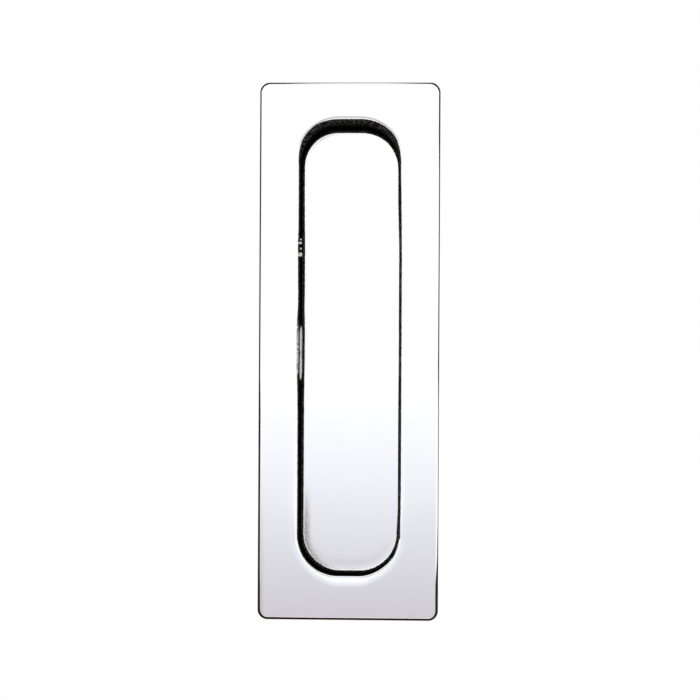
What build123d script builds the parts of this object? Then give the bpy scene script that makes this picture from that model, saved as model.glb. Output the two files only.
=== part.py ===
from build123d import *
from math import radians, tan
import os

# A recessed cabinet pull: one zinc casting, polished and plated. Sizes are in millimetres.
# +Z runs up the plate, +X runs across it, and the face looks along -Y.
# The origin is the middle of the plate's back, which seats on the front of a door or drawer.

# Face plate
plate_width = 40.0
plate_length = 119.0
plate_thickness = 2.0
plate_corner_radius = 2.2
face_edge_radius = 0.8

# Finger recess. Its mouth is given where the wall would meet the face without the rolled lip.
mouth_width = 22.2
mouth_length = 99.9
mouth_corner_radius = 8.8
lip_radius = 1.8
recess_depth = 11.0
floor_fillet_radius = 0.4
draft_angle = 0.5

# Cup behind the plate, which keeps an even wall round the recess
wall_thickness = 1.6
cup_floor_thickness = 2.0
cup_edge_radius = 2.2
cup_root_radius = 0.5

# Tapped bosses on the back of the cup, for screws that come through the door from behind
boss_spacing = 64.0
boss_radius = 4.0
boss_height = 3.0
boss_root_radius = 0.8
boss_edge_chamfer = 0.3
tap_radius = 1.65
tap_depth = 4.0
tap_mouth_chamfer = 0.35

# Places along Y that follow from the sizes above
face_y = -plate_thickness
floor_y = face_y + recess_depth
cup_back_y = floor_y + cup_floor_thickness
boss_end_y = cup_back_y + boss_height

# The cup's outline where it leaves the plate: the recess there, and the wall round it
cup_growth = wall_thickness - plate_thickness * tan(radians(draft_angle))
cup_width = mouth_width + 2 * cup_growth
cup_length = mouth_length + 2 * cup_growth
cup_corner_radius = mouth_corner_radius + cup_growth


def facing_back(x, y, z):
    """A sketch plane that looks along +Y, with its X along the plate's width."""
    return Plane(origin=(x, y, z), x_dir=(1, 0, 0), z_dir=(0, 1, 0))


def drafted_block(width, length, corner_radius, start_y, end_y):
    """A rounded rectangle drawn at start_y that narrows by the draft angle on its way to end_y."""
    outline = facing_back(0, start_y, 0) * RectangleRounded(width, length, corner_radius)
    return extrude(outline, amount=end_y - start_y, taper=draft_angle)


def face_plate():
    """The flat plate, with the small radius of a polished edge round its front."""
    outline = facing_back(0, face_y, 0) * RectangleRounded(plate_width, plate_length, plate_corner_radius)
    plate = extrude(outline, amount=plate_thickness)
    front = plate.faces().sort_by(Axis.Y)[0]
    return fillet(front.edges(), face_edge_radius)


def cup():
    """The outside of the cup, as wide as the recess and its wall all the way down."""
    return drafted_block(cup_width, cup_length, cup_corner_radius, 0, cup_back_y)


def recess():
    """The space that the fingers reach into."""
    return drafted_block(mouth_width, mouth_length, mouth_corner_radius, face_y, floor_y)


def outline_edges(half, y, width, length):
    """The edges of an outline in the plane at y, without those of the cut along the middle line."""
    room = 0.01

    def on_outline(edge):
        box = edge.bounding_box()
        inside = box.max.X < width / 2 + room and box.max.Z < length / 2 + room
        return inside and edge.center().X > room

    return half.edges().filter_by_position(Axis.Y, y - room, y + room).filter_by(on_outline)


def casting_half():
    """The right half of plate and cup, so that each run of rounding starts and ends on the middle line."""
    half = split(face_plate() + cup() - recess(), bisect_by=Plane.YZ, keep=Keep.TOP)
    half = fillet(outline_edges(half, face_y, mouth_width, mouth_length), lip_radius)
    half = fillet(outline_edges(half, floor_y, mouth_width, mouth_length), floor_fillet_radius)
    half = fillet(outline_edges(half, 0, cup_width, cup_length), cup_root_radius)
    return fillet(outline_edges(half, cup_back_y, cup_width, cup_length), cup_edge_radius)


def turned(half_section, y, z):
    """A round form at (y, z) with its axis along Y, from points of (radius, distance along Y)."""
    profile = make_face(Polyline(*half_section, close=True))
    return Pos(0, y, z) * revolve(profile, axis=Axis.Y)


def boss(z):
    """A round boss on the cup's back, drafted like the cup and broken at its edge."""
    end_radius = boss_radius - boss_height * tan(radians(draft_angle))
    half_section = [
        (0, 0),
        (boss_radius, 0),
        (end_radius, boss_height - boss_edge_chamfer),
        (end_radius - boss_edge_chamfer, boss_height),
        (0, boss_height),
    ]
    return turned(half_section, cup_back_y, z)


def tapped_hole(z):
    """A blind hole at tapping size with a chamfered mouth."""
    half_section = [
        (0, 0),
        (tap_radius + tap_mouth_chamfer, 0),
        (tap_radius, -tap_mouth_chamfer),
        (tap_radius, -tap_depth),
        (0, -tap_depth),
    ]
    return turned(half_section, boss_end_y, z)


def boss_roots(body):
    """The circles where the bosses stand on the cup."""
    in_plane = body.edges().filter_by_position(Axis.Y, cup_back_y - 0.01, cup_back_y + 0.01)
    rings = in_plane.filter_by(GeomType.CIRCLE)
    return rings.filter_by(lambda edge: abs(edge.radius - boss_radius) < 0.01)


def pull_body():
    half = casting_half()
    body = half + mirror(half, about=Plane.YZ)
    boss_places = [-boss_spacing / 2, boss_spacing / 2]
    for z in boss_places:
        body += boss(z)
    body = fillet(boss_roots(body), boss_root_radius)
    for z in boss_places:
        body -= tapped_hole(z)
    return body


os.makedirs("parts", exist_ok=True)
export_step(pull_body(), "parts/pull_body.step")
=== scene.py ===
from math import asin, atan2, cos, exp, hypot, pi, radians, sin, tan

import bmesh
import bpy
from mathutils import Matrix, Vector

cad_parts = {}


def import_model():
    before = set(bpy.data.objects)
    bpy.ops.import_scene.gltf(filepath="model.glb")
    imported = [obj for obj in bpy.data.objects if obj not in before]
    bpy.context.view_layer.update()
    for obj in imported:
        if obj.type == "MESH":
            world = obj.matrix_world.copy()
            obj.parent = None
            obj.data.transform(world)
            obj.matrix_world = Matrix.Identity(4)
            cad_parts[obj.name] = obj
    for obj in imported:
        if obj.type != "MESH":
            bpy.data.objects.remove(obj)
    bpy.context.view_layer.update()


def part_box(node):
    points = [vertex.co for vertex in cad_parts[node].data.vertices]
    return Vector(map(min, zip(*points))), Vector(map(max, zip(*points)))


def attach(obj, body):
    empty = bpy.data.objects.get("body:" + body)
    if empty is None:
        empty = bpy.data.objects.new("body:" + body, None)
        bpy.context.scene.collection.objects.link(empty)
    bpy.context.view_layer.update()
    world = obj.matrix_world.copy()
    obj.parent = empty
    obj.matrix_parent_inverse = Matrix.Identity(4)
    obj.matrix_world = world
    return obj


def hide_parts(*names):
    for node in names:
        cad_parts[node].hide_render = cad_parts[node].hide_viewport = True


# A recessed cabinet pull in polished chrome. The piece made here stands for the node pull_body, with the
# same form in a finer mesh. Sizes below are in millimetres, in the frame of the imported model: +Z runs up
# the plate, +X across it, and the face looks along -Y.
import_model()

MM = 0.001

# The plate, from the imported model
box_low, box_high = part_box("pull_body")
plate_half_width = box_high[0] / MM
plate_half_length = box_high[2] / MM
face_y = box_low[1] / MM
boss_end_y = box_high[1] / MM
plate_corner_radius = 2.2
face_edge_radius = 0.8
back_edge_radius = 0.15

# The finger recess and its rolled lip
mouth_half_width = 11.1
mouth_half_length = 49.95
mouth_corner_radius = 8.8
recess_depth = 11.0
floor_fillet_radius = 0.4
draft = radians(0.5)

# The lip's section is an oval that changes round the recess: height, width and depth
lip_sizes = [
    (-49.95, 1.05, 0.42),
    (-49.40, 0.50, 0.30),
    (-47.50, 0.30, 0.25),
    (-44.20, 0.40, 0.30),
    (-41.20, 0.80, 0.50),
    (-30.00, 1.80, 0.90),
    (41.20, 1.80, 0.90),
    (45.60, 2.05, 1.60),
    (48.80, 2.23, 2.10),
    (49.95, 2.30, 2.30),
]

# Buffing has rolled the face off softly just outside the lip
roll_width = 1.4
roll_slope = radians(2.5)

# It has dished the floor of the recess too: deeper just inside its rim, and raised again further in
rim_slope = radians(2.0)
rim_length = 0.45
rise_start = 0.8
rise_width = 2.0
rise_height = 0.012

# The dark band of the recess walls is a dark finish that also paints their shade and the dark reflections
# on the lip. It starts on the lip, and at the lower end only past it: height, and how far outside the wall
# it starts on the left and on the right. Below nothing, it starts so far down the wall.
finish_and_shade_starts = [
    (-49.95, -1.50, -1.50),
    (-49.40, -1.60, -2.40),
    (-48.40, -1.20, -2.80),
    (-45.60, -0.40, -2.20),
    (-43.30, 0.00, -0.30),
    (-41.20, 0.20, 0.48),
    (-30.00, 0.20, 0.58),
    (-12.00, 0.24, 0.57),
    (-6.50, 0.36, 0.56),
    (-4.50, 0.48, 0.56),
    (6.50, 0.52, 0.56),
    (7.50, 0.24, 0.56),
    (14.00, 0.24, 0.55),
    (20.00, 0.31, 0.55),
    (24.50, 0.33, 0.51),
    (26.00, 0.22, 0.49),
    (34.00, 0.22, 0.40),
    (41.20, 0.22, 0.20),
    (42.70, 0.41, 0.34),
    (44.20, 0.70, 0.60),
    (45.60, 1.04, 0.93),
    (46.80, 1.30, 1.26),
    (47.90, 1.45, 1.36),
    (48.80, 1.60, 1.44),
    (49.95, 1.45, 1.45),
]

# It ends so far before the floor: height, and the margin on the left and on the right. Below nothing, it
# ends so far out on the floor.
finish_and_shade_margins = [
    (-49.95, 0.10, 0.10),
    (-48.40, -0.05, 0.00),
    (-41.20, -0.08, -0.05),
    (-33.00, -0.08, 0.35),
    (-8.00, -0.08, 0.35),
    (-5.00, -0.15, 0.35),
    (6.00, -0.20, 0.35),
    (8.50, -0.05, 0.35),
    (12.00, -0.11, 0.35),
    (20.00, -0.13, 0.35),
    (25.50, -0.13, 0.20),
    (27.50, -0.06, 0.12),
    (34.00, 0.00, -0.04),
    (41.20, 0.00, -0.08),
    (45.60, 0.22, -0.02),
    (47.50, 0.38, 0.05),
    (48.80, 0.32, 0.00),
    (49.95, 0.00, -0.04),
]

# The cup behind the plate
wall_thickness = 1.6
cup_floor_thickness = 2.0
cup_edge_radius = 2.2
cup_root_radius = 0.5

# The tapped bosses
boss_places = [-32.0, 32.0]
boss_radius = 4.0
boss_root_radius = 0.8
boss_edge_chamfer = 0.3
tap_radius = 1.65
tap_depth = 4.0
tap_mouth_chamfer = 0.35
thread_pitch = 0.7
thread_depth = 0.3

# Painted glints: patches on the left wall where the dark band is lifted so that bright metal shows as
# glints of light: middle y and z, and half the size along each
glint_places = [
    (3.0, 24.96, 2.6, 0.17),
    (1.8, 24.12, 4.3, 0.26),
    (3.2, 22.90, 2.4, 0.22),
    (2.2, 21.56, 5.0, 0.46),
    (4.8, 2.40, 3.6, 3.00),
    (4.8, -3.20, 3.6, 3.10),
]

# A fainter painted glint, on the lip beside the longest of them: the same four sizes
faint_glint_place = (-2.0, 0.30, 0.75, 6.7)

# These places climb a little on their way in, and their outline lies between an oval and a box. Their
# edge wanders, and is soft between two parts of their size. They show only on the wall at the far left.
glint_climb = 0.055
glint_power = 2.6
glint_edge = (0.75, 1.25)
glint_wander = 1.8
glint_across = (-9.6 * MM, -9.4 * MM)

# The floor's lower left corner, where the wheel left the casting's skin, rough and greyed with painted
# shade along the wall:
# how far from the wall the skin is at its plainest and where it is gone, and the heights between which it
# appears. It fades where the outline turns to the right, and most of it is lost where the outline faces
# down.
skin_start = 0.45
skin_end = 2.2
skin_heights = (-28.0, -42.0)
skin_turn = 0.5
skin_loss = 0.8

# How finely the mesh follows the curves
roll_steps = 8
wall_steps = 8
fillet_steps = 8
floor_insets = [0.1, 0.2, 0.35, 0.5, 0.7, 0.9, 1.2, 1.5, 1.8, 2.1, 2.4, 2.8, 3.2, 3.6]
corner_steps = 24
long_side_steps = 24
short_side_steps = 4
circle_steps = 64
lip_steps = 32
small_arc_steps = 12
back_edge_steps = 4
cup_root_steps = 6
cup_wall_steps = 6
boss_root_steps = 8
steps_per_thread = 6
sharp_angle = radians(35)

# How fine the patterns in the materials are, in features to the metre
grain_scale = 3000
blot_scale = 900
mottle_scale = 160
fleck_scale = 4200
haze_scale = 420
peel_scale = 220
cast_skin_scale = 1800
cast_patch_scale = 120

# Colours and roughness of the polished metal. Pairs are the two ends of a pattern.
white = (1.0, 1.0, 1.0)
chrome_colours = ((0.93, 0.93, 0.94), (0.96, 0.96, 0.97))
chrome_roughness = (0.04, 0.08)
glint_roughness = 0.55
# Painted shade: the skin's colour greys the floor along the wall
skin_shade_colour = (0.50, 0.475, 0.455)
skin_roughness = 0.35
skin_relief = 0.25

# A warm tarnish lies on the metal beside the dark band, and a painted warm grey shade along the plate's
# lower left edge
tarnish_depths = (-0.30, -0.02)
tarnish_strength = 0.3
tarnish_colour = (0.93, 0.80, 0.70)
edge_shade_across = (-19.7 * MM, -17.9 * MM)
edge_shade_heights = (-25.0 * MM, -55.0 * MM)
edge_shade_colour = (0.62, 0.60, 0.53)

# The dark band, a finish that also paints the recess's shade: black with grey specks of painted light near
# the lip, dull, and ragged at its edge. The depths are how far inside its edge a place lies.
finish_and_shade_colours = ((0.0012, 0.0012, 0.0012), (0.11, 0.108, 0.105))
finish_roughness = 0.7
finish_specular = 0.01
finish_ior = 1.05
finish_and_shade_raggedness = 0.36
finish_and_shade_edge = (-0.04, 0.04)
# Painted light: the specks are lightest near the lip and fade out by the deeper of these depths
lit_speck_depths = (0.2, 2.4)

# The part of each pattern that counts, and what it turns into
haze_values = (0.3, 0.7)
lit_speck_grain = (0.47, 0.64)
# How the painted glints on the left wall are mottled, fully and as fainter specks
glint_grain = (0.36, 0.46)
glint_shares = (0.5, 1.0)
faint_glint_grain = (0.42, 0.60)
faint_glint_shares = (0.05, 0.9)
fleck_values = (0.40, 0.60)
fleck_shares = (0.35, 1.0)

# Reliefs: the pebbles of the finish, the orange peel of the polish and the skin of the casting
pebble_height = 0.25
pebble_strength = 0.9
pebble_darkness = (0.6, 1.0)
peel_height = 0.02
peel_strength = 0.04
cast_height = 0.06
cast_strength = 0.5

# The satin back
cast_metallic = 0.4
cast_colours = ((0.56, 0.56, 0.57), (0.68, 0.68, 0.70))
cast_roughness = (0.42, 0.56)

# Sizes that follow: half width, half length and corner radius of the outlines, and places along Y
mouth_sizes = (mouth_half_width, mouth_half_length, mouth_corner_radius)
plate_sizes = (plate_half_width, plate_half_length, plate_corner_radius)
floor_y = face_y + recess_depth
cup_back_y = floor_y + cup_floor_thickness
lip_end = pi / 2 - draft

# The photograph: its scale on the face, and where the plate's middle stands in its 700 pixels
frame_pixels = 700
pixels_per_mm = 4.525
plate_middle_pixel = (348.80, 351.25)

# The camera looks at the middle of the face from a little to the right and below
camera_distance = 450.0
camera_yaw = radians(2.34)
camera_pitch = radians(-0.12)
camera_roll = radians(0.30)

# The tent is a curved sheet of glowing cloth behind the camera, which the face shows. Its lower edge, the
# end of the white there and the start of the grey above it are elevations in degrees from the pull.
tent_radius = 1600.0
tent_reach = radians(90)
tent_top = 1000.0
tent_bottom = -34
tent_white_end = -23
tent_grey_start = -21
tent_steps = 48
tent_strength = 1.07
tent_pale_across = (0.25 * tent_radius * MM, 0.7 * tent_radius * MM)
tent_paleness = 0.8

# Dark flags stand beside the plate's four edges and reach back behind it. Each has its front edge as
# points of (place along the plate's edge, y).
flag_distance = 40.0
flag_back_y = 60.0
flag_colour = (0.030, 0.012, 0.009)
left_flag_front = [
    (-100, -110), (-72, -84), (-60, -62), (-55, -48), (-48, -48), (-38, -42),
    (-16, -42), (-6, -21), (68, -19), (80, -40), (100, -40),
]
right_flag_front = [
    (-100, -100), (-62, -90), (-57, -50), (-50, -8), (-40, 8), (-14, 5),
    (-4, -9), (42, -5), (52, -18), (68, -19), (80, -40), (100, -40),
]
under_flag_front = [
    (-60, -110), (-44, -80), (-22, -62), (-15, -52), (26, -52), (44, -80),
    (60, -100),
]
top_flag_front = [
    (-60, -40), (-36, -40), (-24, -22), (-18, -18), (-12, -2), (-6, 6),
    (6, 10), (12, -4), (18, -18), (24, -22), (36, -40), (60, -40),
]

# The floor
floor_half_size = 1000.0
floor_height = -600.0
floor_colour = (0.86, 0.86, 0.87)
floor_roughness = 0.8


# Section of the pull: points are (growth, y), where growth is measured outwards from an outline

def arc(centre, radius, start, end, steps):
    """Points along an arc. Angles are in radians from the growth direction towards +Y."""
    points = []
    for i in range(steps + 1):
        angle = start + (end - start) * i / steps
        points.append((centre[0] + radius * cos(angle), centre[1] + radius * sin(angle)))
    return points


def run(start, end, steps):
    """Points between two ends of a straight run, without the ends."""
    points = []
    for i in range(1, steps):
        part = i / steps
        points.append((start[0] + (end[0] - start[0]) * part, start[1] + (end[1] - start[1]) * part))
    return points


def outside_corner(wall_growth, flat_y, radius):
    """Centre of a round between a flat and a drafted wall that starts from it, on the wall's outer side."""
    return (wall_growth + radius * (1 - sin(draft)) / cos(draft), flat_y + radius)


def inside_corner(wall_growth, wall_y, flat_y, radius):
    """Centre of a round between a drafted wall and the flat that it ends at, on the wall's inner side."""
    centre_y = flat_y - radius
    fall = (centre_y - wall_y) * sin(draft)
    return (wall_growth - (radius + fall) / cos(draft), centre_y)


def between(rows, place):
    """The values of a list at a place between two of its rows, which start with their own places."""
    for near, far in zip(rows, rows[1:]):
        if place <= far[0]:
            break
    part = (place - near[0]) / (far[0] - near[0])
    return [low + (high - low) * part for low, high in zip(near[1:], far[1:])]


def lip_section(width, depth):
    """From the face in over the soft roll-off and the oval lip to the wall."""
    roll_depth = roll_width * tan(roll_slope) / 2
    turns = []
    for i in range(lip_steps + 1):
        tilt = roll_slope + (lip_end - roll_slope) * i / lip_steps
        turns.append(atan2(width * sin(tilt), depth * cos(tilt)))
    lip_y = face_y + roll_depth - depth * (1 - cos(turns[0]))
    end_y = lip_y + depth * (1 - cos(turns[-1]))
    shift = -(end_y - face_y) * tan(draft) - width * (1 - sin(turns[-1]))
    lip = [(shift + width * (1 - sin(turn)), lip_y + depth * (1 - cos(turn))) for turn in turns]
    roll = []
    for i in range(roll_steps):
        part = i / roll_steps
        roll.append((lip[0][0] + roll_width * (1 - part), face_y + roll_depth * part ** 2))
    return roll + lip


def floor_section(start):
    """From the floor's rim inwards, over the dish that buffing left."""
    points = []
    for inset in floor_insets:
        fall = rim_length * tan(rim_slope) * (1 - exp(-inset / rim_length))
        rise = rise_height * smooth((inset - rise_start) / rise_width)
        points.append((start[0] - inset, floor_y + fall - rise))
    return points


def finish_and_shade_start(lengths, width, depth, outwards):
    """The length down a section with this lip at which the dark band of finish and painted shade starts."""
    turn = asin(1 - max(0.0, outwards) / width)
    tilt = atan2(depth * sin(turn), width * cos(turn))
    lip_part = min(1.0, (tilt - roll_slope) / (lip_end - roll_slope))
    return length_at(lengths, roll_steps + lip_part * lip_steps) - min(0.0, outwards)


def recess_section(across, z):
    """From the face in to the floor, at a height on the left or right as across tells: (growth, y, how far
    inside the dark band of finish and painted shade)."""
    width, depth = between(lip_sizes, z)
    lip = lip_section(width, depth)
    fillet_centre = inside_corner(0, face_y, floor_y, floor_fillet_radius)
    fillet = arc(fillet_centre, floor_fillet_radius, draft, pi / 2, fillet_steps)
    section = lip + run(lip[-1], fillet[0], wall_steps) + fillet
    lengths = lengths_along(section)
    side = 0 if across < 0 else 1
    start = finish_and_shade_start(lengths, width, depth, between(finish_and_shade_starts, z)[side])
    end = lengths[-1] - between(finish_and_shade_margins, z)[side]
    section += floor_section(fillet[-1])
    lengths += [lengths[-1] + inset for inset in floor_insets]
    return [
        (growth, y, min(length - start, end - length))
        for (growth, y), length in zip(section, lengths)
    ]


def length_at(lengths, place):
    """The length at a place between two points of a section."""
    before = int(place)
    return lengths[before] + (lengths[before + 1] - lengths[before]) * (place - before)


def lengths_along(points):
    """The length along a section at each of its points."""
    lengths = [0.0]
    for near, far in zip(points, points[1:]):
        lengths.append(lengths[-1] + hypot(far[0] - near[0], far[1] - near[1]))
    return lengths


def smooth(part):
    """Eases from 0 to 1 as part does."""
    part = max(0.0, min(1.0, part))
    return part * part * (3 - 2 * part)


def plate_edge_section():
    """From the face round the plate's edge to its back, measured from the plate's outline."""
    front_centre = (-face_edge_radius, face_y + face_edge_radius)
    front = arc(front_centre, face_edge_radius, -pi / 2, 0, small_arc_steps)
    back_centre = (-back_edge_radius, -back_edge_radius)
    back = arc(back_centre, back_edge_radius, 0, pi / 2, back_edge_steps)
    return front + back


def cup_section():
    """From the plate's back over the cup's root and wall to its back, measured from the mouth's outline."""
    growth = wall_thickness + face_y * tan(draft)
    root_centre = outside_corner(growth, 0, cup_root_radius)
    root = arc(root_centre, cup_root_radius, 1.5 * pi, pi + draft, cup_root_steps)
    edge_centre = inside_corner(growth, 0, cup_back_y, cup_edge_radius)
    edge = arc(edge_centre, cup_edge_radius, draft, pi / 2, small_arc_steps)
    return root + run(root[-1], edge[0], cup_wall_steps) + edge


# Outlines and rings

def rounded_outline(half_width, half_length, corner_radius):
    """Round a rounded rectangle: x and z of each point, and the direction that it faces."""
    corners = [
        (1, 1, short_side_steps),
        (-1, 1, long_side_steps),
        (-1, -1, short_side_steps),
        (1, -1, long_side_steps),
    ]
    points = []
    for number, (side, end, steps) in enumerate(corners):
        centre_x = side * (half_width - corner_radius)
        centre_z = end * (half_length - corner_radius)
        for i in range(corner_steps + 1):
            angle = (number + i / corner_steps) * pi / 2
            facing = (cos(angle), sin(angle))
            x = centre_x + corner_radius * facing[0]
            z = centre_z + corner_radius * facing[1]
            points.append((x, z, facing))
        # The straight side goes on from the corner's last point
        along_top = number % 2 == 0
        length = 2 * ((half_width if along_top else half_length) - corner_radius)
        for i in range(1, steps):
            step = length * i / steps
            points.append((x - facing[1] * step, z + facing[0] * step, facing))
    return points


def ring_vertex(mesh, outline_point, growth, y):
    """A vertex at depth y, moved outwards from a point of an outline."""
    x, z, facing = outline_point
    return mesh.verts.new(((x + growth * facing[0]) * MM, y * MM, (z + growth * facing[1]) * MM))


def outline_rings(mesh, sizes, section):
    """A ring for each point of a section that is the same all round."""
    outline = rounded_outline(*sizes)
    return [[ring_vertex(mesh, point, growth, y) for point in outline] for growth, y in section]


def skin_and_shade_at(facing, z, inside):
    """How much of the casting's skin, with its painted grey shade, is left at a point of the recess."""
    start, end = skin_heights
    across, rise = facing
    low = smooth((start - z) / (start - end))
    left = smooth(skin_turn - across) * (1 - skin_loss * max(0.0, -rise))
    inset = -inside
    near_wall = 1 - smooth((inset - skin_start) / (skin_end - skin_start))
    return low * left * smooth(inset / skin_start) * near_wall


def recess_rings(mesh):
    """Rings down the recess. Each vertex knows how far it lies inside the dark band of finish and painted
    shade, in millimetres, and how much of the casting's skin, greyed with painted shade, it shows."""
    into_finish_and_shade = mesh.verts.layers.float["into_finish_and_shade"]
    skin = mesh.verts.layers.float["skin"]
    columns = []
    for point in rounded_outline(*mouth_sizes):
        x, z, facing = point
        column = []
        for growth, y, inside in recess_section(facing[0], z):
            vertex = ring_vertex(mesh, point, growth, y)
            vertex[into_finish_and_shade] = inside
            if y > floor_y - floor_fillet_radius:
                vertex[skin] = skin_and_shade_at(facing, z, inside)
            column.append(vertex)
        columns.append(column)
    return [list(ring) for ring in zip(*columns)]


def strips(mesh, rings, material_index):
    """Joins each ring to the next with faces of one material."""
    for near, far in zip(rings, rings[1:]):
        count = len(near)
        for i in range(count):
            j = (i + 1) % count
            face = mesh.faces.new((near[i], near[j], far[j], far[i]))
            face.material_index = material_index


# The tapped bosses: rings about an axis along Y

def circle_ring(mesh, place, radius, y):
    """A ring of vertices about the boss's axis. radius may be a function of the angle."""
    points = []
    for i in range(circle_steps):
        angle = 2 * pi * i / circle_steps
        distance = radius(angle) if callable(radius) else radius
        x = distance * cos(angle)
        z = place + distance * sin(angle)
        points.append(mesh.verts.new((x * MM, y * MM, z * MM)))
    return points


def boss_section():
    """From the cup's back over the boss to the hole's mouth, as (radius, y)."""
    root_centre = outside_corner(boss_radius, cup_back_y, boss_root_radius)
    root = arc(root_centre, boss_root_radius, 1.5 * pi, pi + draft, boss_root_steps)
    end_radius = boss_radius - (boss_end_y - cup_back_y) * tan(draft)
    mouth_radius = tap_radius + tap_mouth_chamfer
    edge = [
        (end_radius, boss_end_y - boss_edge_chamfer),
        (end_radius - boss_edge_chamfer, boss_end_y),
        (mouth_radius, boss_end_y),
        (tap_radius, boss_end_y - tap_mouth_chamfer),
    ]
    return root + edge


def thread_radius(y):
    """The hole's radius round the axis at depth y: a vee that climbs one pitch a turn."""
    def at_angle(angle):
        turn = ((boss_end_y - y) / thread_pitch + angle / (2 * pi)) % 1
        height = 1 - abs(2 * turn - 1)
        below_mouth = (boss_end_y - tap_mouth_chamfer - y) / thread_pitch
        above_bottom = (y - (boss_end_y - tap_depth)) / thread_pitch
        fade = max(0.0, min(1.0, 2 * below_mouth, 2 * above_bottom))
        return tap_radius + thread_depth * height * fade
    return at_angle


def boss(mesh, place, material_index):
    """One tapped boss. Returns the ring where it meets the cup's back."""
    rings = [circle_ring(mesh, place, radius, y) for radius, y in boss_section()]
    thread_top = boss_end_y - tap_mouth_chamfer
    thread_bottom = boss_end_y - tap_depth
    steps = round((thread_top - thread_bottom) / thread_pitch * steps_per_thread)
    for i in range(1, steps + 1):
        y = thread_top + (thread_bottom - thread_top) * i / steps
        rings.append(circle_ring(mesh, place, thread_radius(y), y))
    strips(mesh, rings, material_index)
    bottom = mesh.faces.new(rings[-1])
    bottom.material_index = material_index
    return rings[0]


def edges_of(mesh, ring):
    """The edges round a ring."""
    count = len(ring)
    return [mesh.edges.get((ring[i], ring[(i + 1) % count])) for i in range(count)]


def make_pull(materials):
    """The whole casting as one closed mesh. materials are those of its face and of its back."""
    polished, cast = 0, 1
    mesh = bmesh.new()
    into_finish_and_shade = mesh.verts.layers.float.new("into_finish_and_shade")
    mesh.verts.layers.float.new("skin")

    recess = recess_rings(mesh)
    edge = outline_rings(mesh, plate_sizes, plate_edge_section())
    # The plate's edge is well outside the dark band
    for ring in edge:
        for vertex in ring:
            vertex[into_finish_and_shade] = -plate_half_width
    cup = outline_rings(mesh, mouth_sizes, cup_section())

    floor_middle = mesh.faces.new(recess[-1])
    floor_middle.material_index = polished
    strips(mesh, recess[::-1] + edge, polished)
    strips(mesh, edge[-1:] + cup, cast)

    boss_rings = [boss(mesh, place, cast) for place in boss_places]
    rim = edges_of(mesh, cup[-1])
    for ring in boss_rings:
        rim += edges_of(mesh, ring)
    filled = bmesh.ops.triangle_fill(mesh, use_beauty=True, edges=rim)
    for face in filled["geom"]:
        if isinstance(face, bmesh.types.BMFace):
            face.material_index = cast

    bmesh.ops.recalc_face_normals(mesh, faces=mesh.faces)
    data = bpy.data.meshes.new("pull")
    mesh.to_mesh(data)
    mesh.free()
    for polygon in data.polygons:
        polygon.use_smooth = True
    data.set_sharp_from_angle(angle=sharp_angle)
    for material in materials:
        data.materials.append(material)
    pull = new_object("pull", data)

    # The large faces rule the normals, so that flats stay flat up to their rounded edges
    weighted = pull.modifiers.new("weighted_normals", "WEIGHTED_NORMAL")
    weighted.keep_sharp = True
    weighted.weight = 100
    return pull


# Materials

def new_material(name):
    """A material, with its nodes, its links and its shader."""
    material = bpy.data.materials.new(name)
    material.use_nodes = True
    nodes = material.node_tree.nodes
    return material, nodes, material.node_tree.links, nodes["Principled BSDF"]


def feed(links, value, socket):
    """Links a value to a socket, or sets the socket to it. A tuple is a colour."""
    if isinstance(value, bpy.types.NodeSocket):
        links.new(value, socket)
    elif isinstance(value, tuple):
        socket.default_value = (*value, 1)
    else:
        socket.default_value = value


def math(nodes, links, operation, first, second):
    """A math node on two values, each a socket or a number."""
    node = nodes.new("ShaderNodeMath")
    node.operation = operation
    feed(links, first, node.inputs[0])
    feed(links, second, node.inputs[1])
    return node.outputs["Value"]


def map_range(nodes, links, value, source, target):
    """A value between the two of source, brought between the two of target."""
    node = nodes.new("ShaderNodeMapRange")
    node.inputs["From Min"].default_value = source[0]
    node.inputs["From Max"].default_value = source[1]
    node.inputs["To Min"].default_value = target[0]
    node.inputs["To Max"].default_value = target[1]
    links.new(value, node.inputs["Value"])
    return node.outputs["Result"]


def mix(nodes, links, kind, factor, low, high):
    """Between two values or colours, each a socket or given. kind is FLOAT or RGBA."""
    node = nodes.new("ShaderNodeMix")
    node.data_type = kind
    links.new(factor, node.inputs["Factor"])
    feed(links, low, node.inputs["A"])
    feed(links, high, node.inputs["B"])
    return node.outputs["Result"]


def attribute(nodes, name):
    """A value that the mesh holds at its vertices."""
    node = nodes.new("ShaderNodeAttribute")
    node.attribute_name = name
    return node.outputs["Fac"]


def object_axes(nodes, links):
    """The object's own coordinates, as outputs X, Y and Z."""
    place = nodes.new("ShaderNodeTexCoord")
    axes = nodes.new("ShaderNodeSeparateXYZ")
    links.new(place.outputs["Object"], axes.inputs["Vector"])
    return axes.outputs


def noise(nodes, links, scale, detail, roughness=0.5):
    """Noise in the object's own coordinates. scale is the number of features to the metre."""
    place = nodes.new("ShaderNodeTexCoord")
    texture = nodes.new("ShaderNodeTexNoise")
    texture.inputs["Scale"].default_value = scale
    texture.inputs["Detail"].default_value = detail
    texture.inputs["Roughness"].default_value = roughness
    links.new(place.outputs["Object"], texture.inputs["Vector"])
    return texture.outputs["Fac"]


def swing(nodes, links, pattern, size):
    """A noise made to swing about nothing, by up to half of size to each side."""
    return math(nodes, links, "MULTIPLY", math(nodes, links, "SUBTRACT", pattern, 0.5), size)


def bump(nodes, links, height, distance, strength, below=None):
    """A relief with a distance in millimetres, over another where below is given."""
    node = nodes.new("ShaderNodeBump")
    node.inputs["Distance"].default_value = distance * MM
    node.inputs["Strength"].default_value = strength
    links.new(height, node.inputs["Height"])
    if below is not None:
        links.new(below, node.inputs["Normal"])
    return node.outputs["Normal"]


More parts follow.
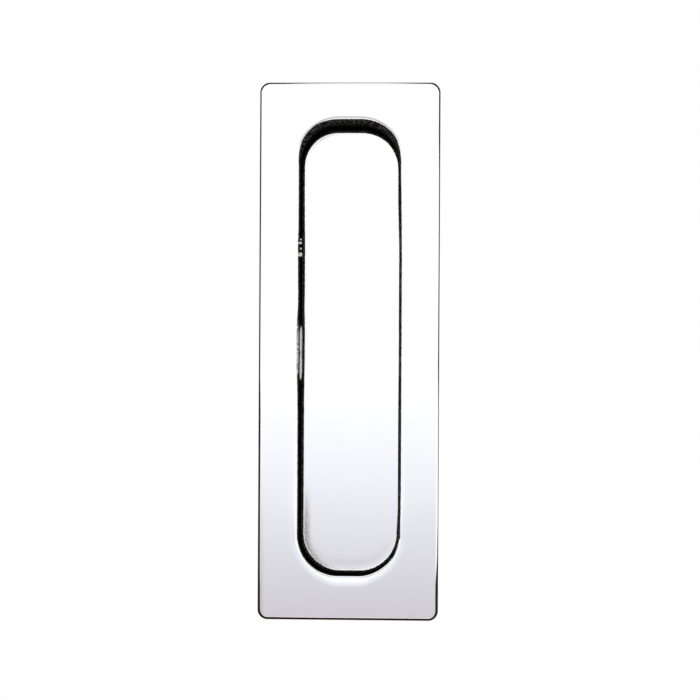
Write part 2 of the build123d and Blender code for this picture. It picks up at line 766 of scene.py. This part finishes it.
def patch(nodes, links, axes, wander, middle_y, middle_z, half_y, half_z):
    """One inside a ragged oval on the left wall, nothing outside it."""
    inwards = math(nodes, links, "SUBTRACT", axes["Y"], middle_y * MM)
    climb = math(nodes, links, "MULTIPLY", inwards, glint_climb)
    upwards = math(nodes, links, "SUBTRACT", axes["Z"], middle_z * MM)
    upwards = math(nodes, links, "SUBTRACT", upwards, climb)
    distance = wander
    for offset, half in ((inwards, half_y), (upwards, half_z)):
        scaled = math(nodes, links, "DIVIDE", offset, half * MM)
        size = math(nodes, links, "ABSOLUTE", scaled, 0)
        distance = math(nodes, links, "ADD", distance, math(nodes, links, "POWER", size, glint_power))
    return map_range(nodes, links, distance, glint_edge, (1, 0))


def painted_glints(nodes, links, grain):
    """Painted glints: where the dark band is lifted on the left wall so that bright metal shows, fully in
    some patches and as fainter specks in one.
    """
    axes = object_axes(nodes, links)
    blots = noise(nodes, links, blot_scale, detail=4, roughness=0.65)
    wander = swing(nodes, links, blots, glint_wander)
    glint = patch(nodes, links, axes, wander, *glint_places[0])
    for sizes in glint_places[1:]:
        glint = math(nodes, links, "MAXIMUM", glint, patch(nodes, links, axes, wander, *sizes))
    mottling = map_range(nodes, links, grain, glint_grain, glint_shares)
    glint = math(nodes, links, "MULTIPLY", glint, mottling)
    faint_glint = patch(nodes, links, axes, wander, *faint_glint_place)
    specks = map_range(nodes, links, grain, faint_glint_grain, faint_glint_shares)
    faint_glint = math(nodes, links, "MULTIPLY", faint_glint, specks)
    left = map_range(nodes, links, axes["X"], glint_across, (1, 0))
    return math(nodes, links, "MULTIPLY", math(nodes, links, "MAXIMUM", glint, faint_glint), left)


def painted_edge_shade(nodes, links):
    """Painted shade: a warm grey darkening along the lower part of the plate's left edge."""
    axes = object_axes(nodes, links)
    near_edge = map_range(nodes, links, axes["X"], edge_shade_across, (1, 0))
    low = map_range(nodes, links, axes["Z"], edge_shade_heights, (0, 1))
    return math(nodes, links, "MULTIPLY", math(nodes, links, "POWER", near_edge, 2), low)


def polished_chrome():
    """Mirror chrome with the faint mottling of hand polishing, and the dark, pebbled recess walls, whose
    black is partly painted shade.
    """
    material, nodes, links, shader = new_material("polished_chrome")

    # The dark band, a finish that also paints the recess's shade, has a ragged edge and painted glints
    # where it is lifted
    into_finish_and_shade = attribute(nodes, "into_finish_and_shade")
    grain = noise(nodes, links, grain_scale, detail=3, roughness=0.6)
    depth = math(nodes, links, "ADD", into_finish_and_shade, swing(nodes, links, grain, finish_and_shade_raggedness))
    covered = map_range(nodes, links, depth, finish_and_shade_edge, (0, 1))
    # Painted glints: the dark band is lifted where the left wall shows glints of light
    glint = math(nodes, links, "MULTIPLY", covered, painted_glints(nodes, links, grain))
    dark = math(nodes, links, "SUBTRACT", covered, glint)

    # The metal has a warm tarnish beside the dark band, the casting's skin in one corner with painted grey
    # shade, and painted shade along its lower left edge
    mottle = noise(nodes, links, mottle_scale, detail=3)
    chrome = mix(nodes, links, "RGBA", mottle, *chrome_colours)
    tarnish = map_range(nodes, links, depth, tarnish_depths, (0, tarnish_strength))
    chrome = mix(nodes, links, "RGBA", tarnish, chrome, tarnish_colour)
    fleck = noise(nodes, links, fleck_scale, detail=2)
    fleck = map_range(nodes, links, fleck, fleck_values, fleck_shares)
    skin = math(nodes, links, "MULTIPLY", attribute(nodes, "skin"), fleck)
    # Painted shade: the skin greys the floor along the wall in the lower left corner
    chrome = mix(nodes, links, "RGBA", skin, chrome, skin_shade_colour)
    # Painted shade along the plate's lower left edge
    chrome = mix(nodes, links, "RGBA", painted_edge_shade(nodes, links), chrome, edge_shade_colour)

    # The dark band is black, with painted light near the lip: grey specks that fade deeper into the recess
    lit_speckle = map_range(nodes, links, grain, lit_speck_grain, (0, 1))
    near_lip = map_range(nodes, links, into_finish_and_shade, lit_speck_depths, (1, 0))
    lit_speckle = math(nodes, links, "MULTIPLY", lit_speckle, near_lip)
    black = mix(nodes, links, "RGBA", lit_speckle, *finish_and_shade_colours)
    links.new(mix(nodes, links, "RGBA", dark, chrome, black), shader.inputs["Base Color"])
    links.new(math(nodes, links, "SUBTRACT", 1, dark), shader.inputs["Metallic"])
    shader.inputs["Specular IOR Level"].default_value = finish_specular
    shader.inputs["IOR"].default_value = finish_ior

    haze = noise(nodes, links, haze_scale, detail=4)
    polish = map_range(nodes, links, haze, haze_values, chrome_roughness)
    polish = mix(nodes, links, "FLOAT", skin, polish, skin_roughness)
    polish = mix(nodes, links, "FLOAT", glint, polish, glint_roughness)
    polish = mix(nodes, links, "FLOAT", dark, polish, finish_roughness)
    links.new(polish, shader.inputs["Roughness"])

    peel = noise(nodes, links, peel_scale, detail=1)
    peel_relief = bump(nodes, links, peel, peel_height, peel_strength)
    rough = math(nodes, links, "MULTIPLY", skin, skin_relief)
    pebbled = map_range(nodes, links, dark, pebble_darkness, (0, 1))
    pebbles = swing(nodes, links, grain, math(nodes, links, "MAXIMUM", rough, pebbled))
    relief = bump(nodes, links, pebbles, pebble_height, pebble_strength, below=peel_relief)
    links.new(relief, shader.inputs["Normal"])
    return material


def cast_back():
    """Plating over the casting as it left the mould: satin, with a fine skin."""
    material, nodes, links, shader = new_material("cast_back")
    shader.inputs["Metallic"].default_value = cast_metallic
    skin = noise(nodes, links, cast_skin_scale, detail=4, roughness=0.6)
    patches = noise(nodes, links, cast_patch_scale, detail=3)
    links.new(mix(nodes, links, "RGBA", patches, *cast_colours), shader.inputs["Base Color"])
    links.new(map_range(nodes, links, skin, haze_values, cast_roughness), shader.inputs["Roughness"])
    links.new(bump(nodes, links, skin, cast_height, cast_strength), shader.inputs["Normal"])
    return material


# Studio: a white world, a pale floor, and cards that only the metal's reflections see

def new_object(name, data):
    """An object that stands in the scene."""
    made = bpy.data.objects.new(name, data)
    bpy.context.scene.collection.objects.link(made)
    return made


def staged_sheet(name, corners, faces, material):
    """A sheet of the studio, with its corners in millimetres."""
    data = bpy.data.meshes.new(name)
    data.from_pydata([Vector(corner) * MM for corner in corners], [], faces)
    data.materials.append(material)
    made = new_object(name, data)
    return made


def reflected_sheet(name, corners, faces, material):
    """A sheet of the studio that reflections alone see."""
    made = staged_sheet(name, corners, faces, material)
    made.visible_camera = False
    made.visible_diffuse = False
    made.visible_shadow = False
    made.visible_transmission = False


def glow_material(name, colour, strength):
    """A cloth that glows, and the node that makes it glow."""
    material = bpy.data.materials.new(name)
    material.use_nodes = True
    nodes = material.node_tree.nodes
    nodes.clear()
    output = nodes.new("ShaderNodeOutputMaterial")
    glow = nodes.new("ShaderNodeEmission")
    glow.inputs["Color"].default_value = (*colour, 1)
    glow.inputs["Strength"].default_value = strength
    material.node_tree.links.new(glow.outputs["Emission"], output.inputs["Surface"])
    return material, glow


def mirrored_height(row):
    """The height on the tent that the face shows at a pixel row of the photograph."""
    height = (plate_middle_pixel[1] - row) / pixels_per_mm
    camera_height = camera_distance * sin(camera_pitch)
    slope = (height - camera_height) / camera_distance
    return height + slope * (tent_radius + face_y)


def height_at(elevation):
    """The height on the tent at an elevation in degrees, seen from the pull."""
    return tent_radius * tan(radians(elevation))


def tent_cloth():
    """White above, falling to a lilac grey below the horizon, and paler to the sides."""
    material, glow = glow_material("tent_cloth", white, tent_strength)
    nodes, links = material.node_tree.nodes, material.node_tree.links
    stops = [
        (height_at(tent_bottom), white),
        (height_at(tent_white_end), white),
        (height_at(tent_grey_start), (0.46, 0.44, 0.50)),
        (mirrored_height(620), (0.615, 0.595, 0.635)),
        (mirrored_height(560), (0.71, 0.70, 0.745)),
        (mirrored_height(480), (0.871, 0.896, 0.939)),
        (mirrored_height(405), white),
    ]
    axes = object_axes(nodes, links)
    bottom = stops[0][0]
    height = map_range(nodes, links, axes["Z"], (bottom * MM, tent_top * MM), (0, 1))
    ramp = nodes.new("ShaderNodeValToRGB")
    points = ramp.color_ramp.elements
    while len(points) < len(stops):
        points.new(0.5)
    for point, (stop_height, colour) in zip(points, stops):
        point.position = (stop_height - bottom) / (tent_top - bottom)
        point.color = (*colour, 1)
    links.new(height, ramp.inputs["Fac"])
    aside = math(nodes, links, "ABSOLUTE", axes["X"], 0)
    paler = map_range(nodes, links, aside, tent_pale_across, (0, tent_paleness))
    links.new(mix(nodes, links, "RGBA", paler, ramp.outputs["Color"], white), glow.inputs["Color"])
    return material


def tent():
    """A curved sheet of cloth behind the camera, from side to side. The face shows it."""
    bottom = height_at(tent_bottom)
    corners = []
    for i in range(tent_steps + 1):
        angle = tent_reach * (2 * i / tent_steps - 1)
        x, y = tent_radius * sin(angle), -tent_radius * cos(angle)
        corners += [(x, y, bottom), (x, y, tent_top)]
    faces = [(2 * i, 2 * i + 2, 2 * i + 3, 2 * i + 1) for i in range(tent_steps)]
    reflected_sheet("tent", corners, faces, tent_cloth())


def flag(name, front, cloth):
    """A dark flag from the corners of its front edge back to behind the plate."""
    corners = []
    for x, y, z in front:
        corners += [(x, y, z), (x, flag_back_y, z)]
    faces = [(2 * i, 2 * i + 1, 2 * i + 3, 2 * i + 2) for i in range(len(front) - 1)]
    reflected_sheet(name, corners, faces, cloth)


def flags():
    """The dark flags beside the plate's four edges. The rounded edges show them as lines."""
    cloth, _ = glow_material("flag_cloth", flag_colour, 1.0)
    side_x = plate_half_width + flag_distance
    end_z = plate_half_length + flag_distance
    flag("left_flag", [(-side_x, y, z) for z, y in left_flag_front], cloth)
    flag("right_flag", [(side_x, y, z) for z, y in right_flag_front], cloth)
    flag("under_flag", [(x, y, -end_z) for x, y in under_flag_front], cloth)
    flag("top_flag", [(x, y, end_z) for x, y in top_flag_front], cloth)


def floor():
    """A plain pale floor, well below the pull."""
    material, _, _, shader = new_material("floor_paint")
    shader.inputs["Base Color"].default_value = (*floor_colour, 1)
    shader.inputs["Roughness"].default_value = floor_roughness
    half = floor_half_size
    outline = [(-half, -half), (half, -half), (half, half), (-half, half)]
    staged_sheet("floor", [(x, y, floor_height) for x, y in outline], [(0, 1, 2, 3)], material)


def world():
    """Plain white light from all sides."""
    made = bpy.data.worlds.new("studio")
    made.use_nodes = True
    background = made.node_tree.nodes["Background"]
    background.inputs["Color"].default_value = (*white, 1)
    background.inputs["Strength"].default_value = 1.0
    bpy.context.scene.world = made


def camera():
    """The photograph's view: nearly square on, with a long lens."""
    data = bpy.data.cameras.new("camera")
    view_height = frame_pixels / pixels_per_mm
    data.sensor_width = 36.0
    data.lens = data.sensor_width * camera_distance / view_height
    data.clip_start = 0.01
    data.clip_end = 20
    made = new_object("camera", data)
    middle = frame_pixels / 2
    aim = Vector((
        (middle - plate_middle_pixel[0]) / pixels_per_mm,
        face_y,
        (plate_middle_pixel[1] - middle) / pixels_per_mm,
    ))
    back = Vector((
        sin(camera_yaw) * cos(camera_pitch),
        -cos(camera_yaw) * cos(camera_pitch),
        sin(camera_pitch),
    ))
    made.location = (aim + back * camera_distance) * MM
    looking = (-back).to_track_quat("-Z", "Y").to_matrix()
    made.rotation_mode = "QUATERNION"
    made.rotation_quaternion = (looking @ Matrix.Rotation(camera_roll, 3, "Z")).to_quaternion()
    bpy.context.scene.camera = made


pull = make_pull([polished_chrome(), cast_back()])
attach(pull, "root")
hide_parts("pull_body")

tent()
flags()
floor()
world()
camera()
bpy.context.scene.view_settings.view_transform = "Standard"
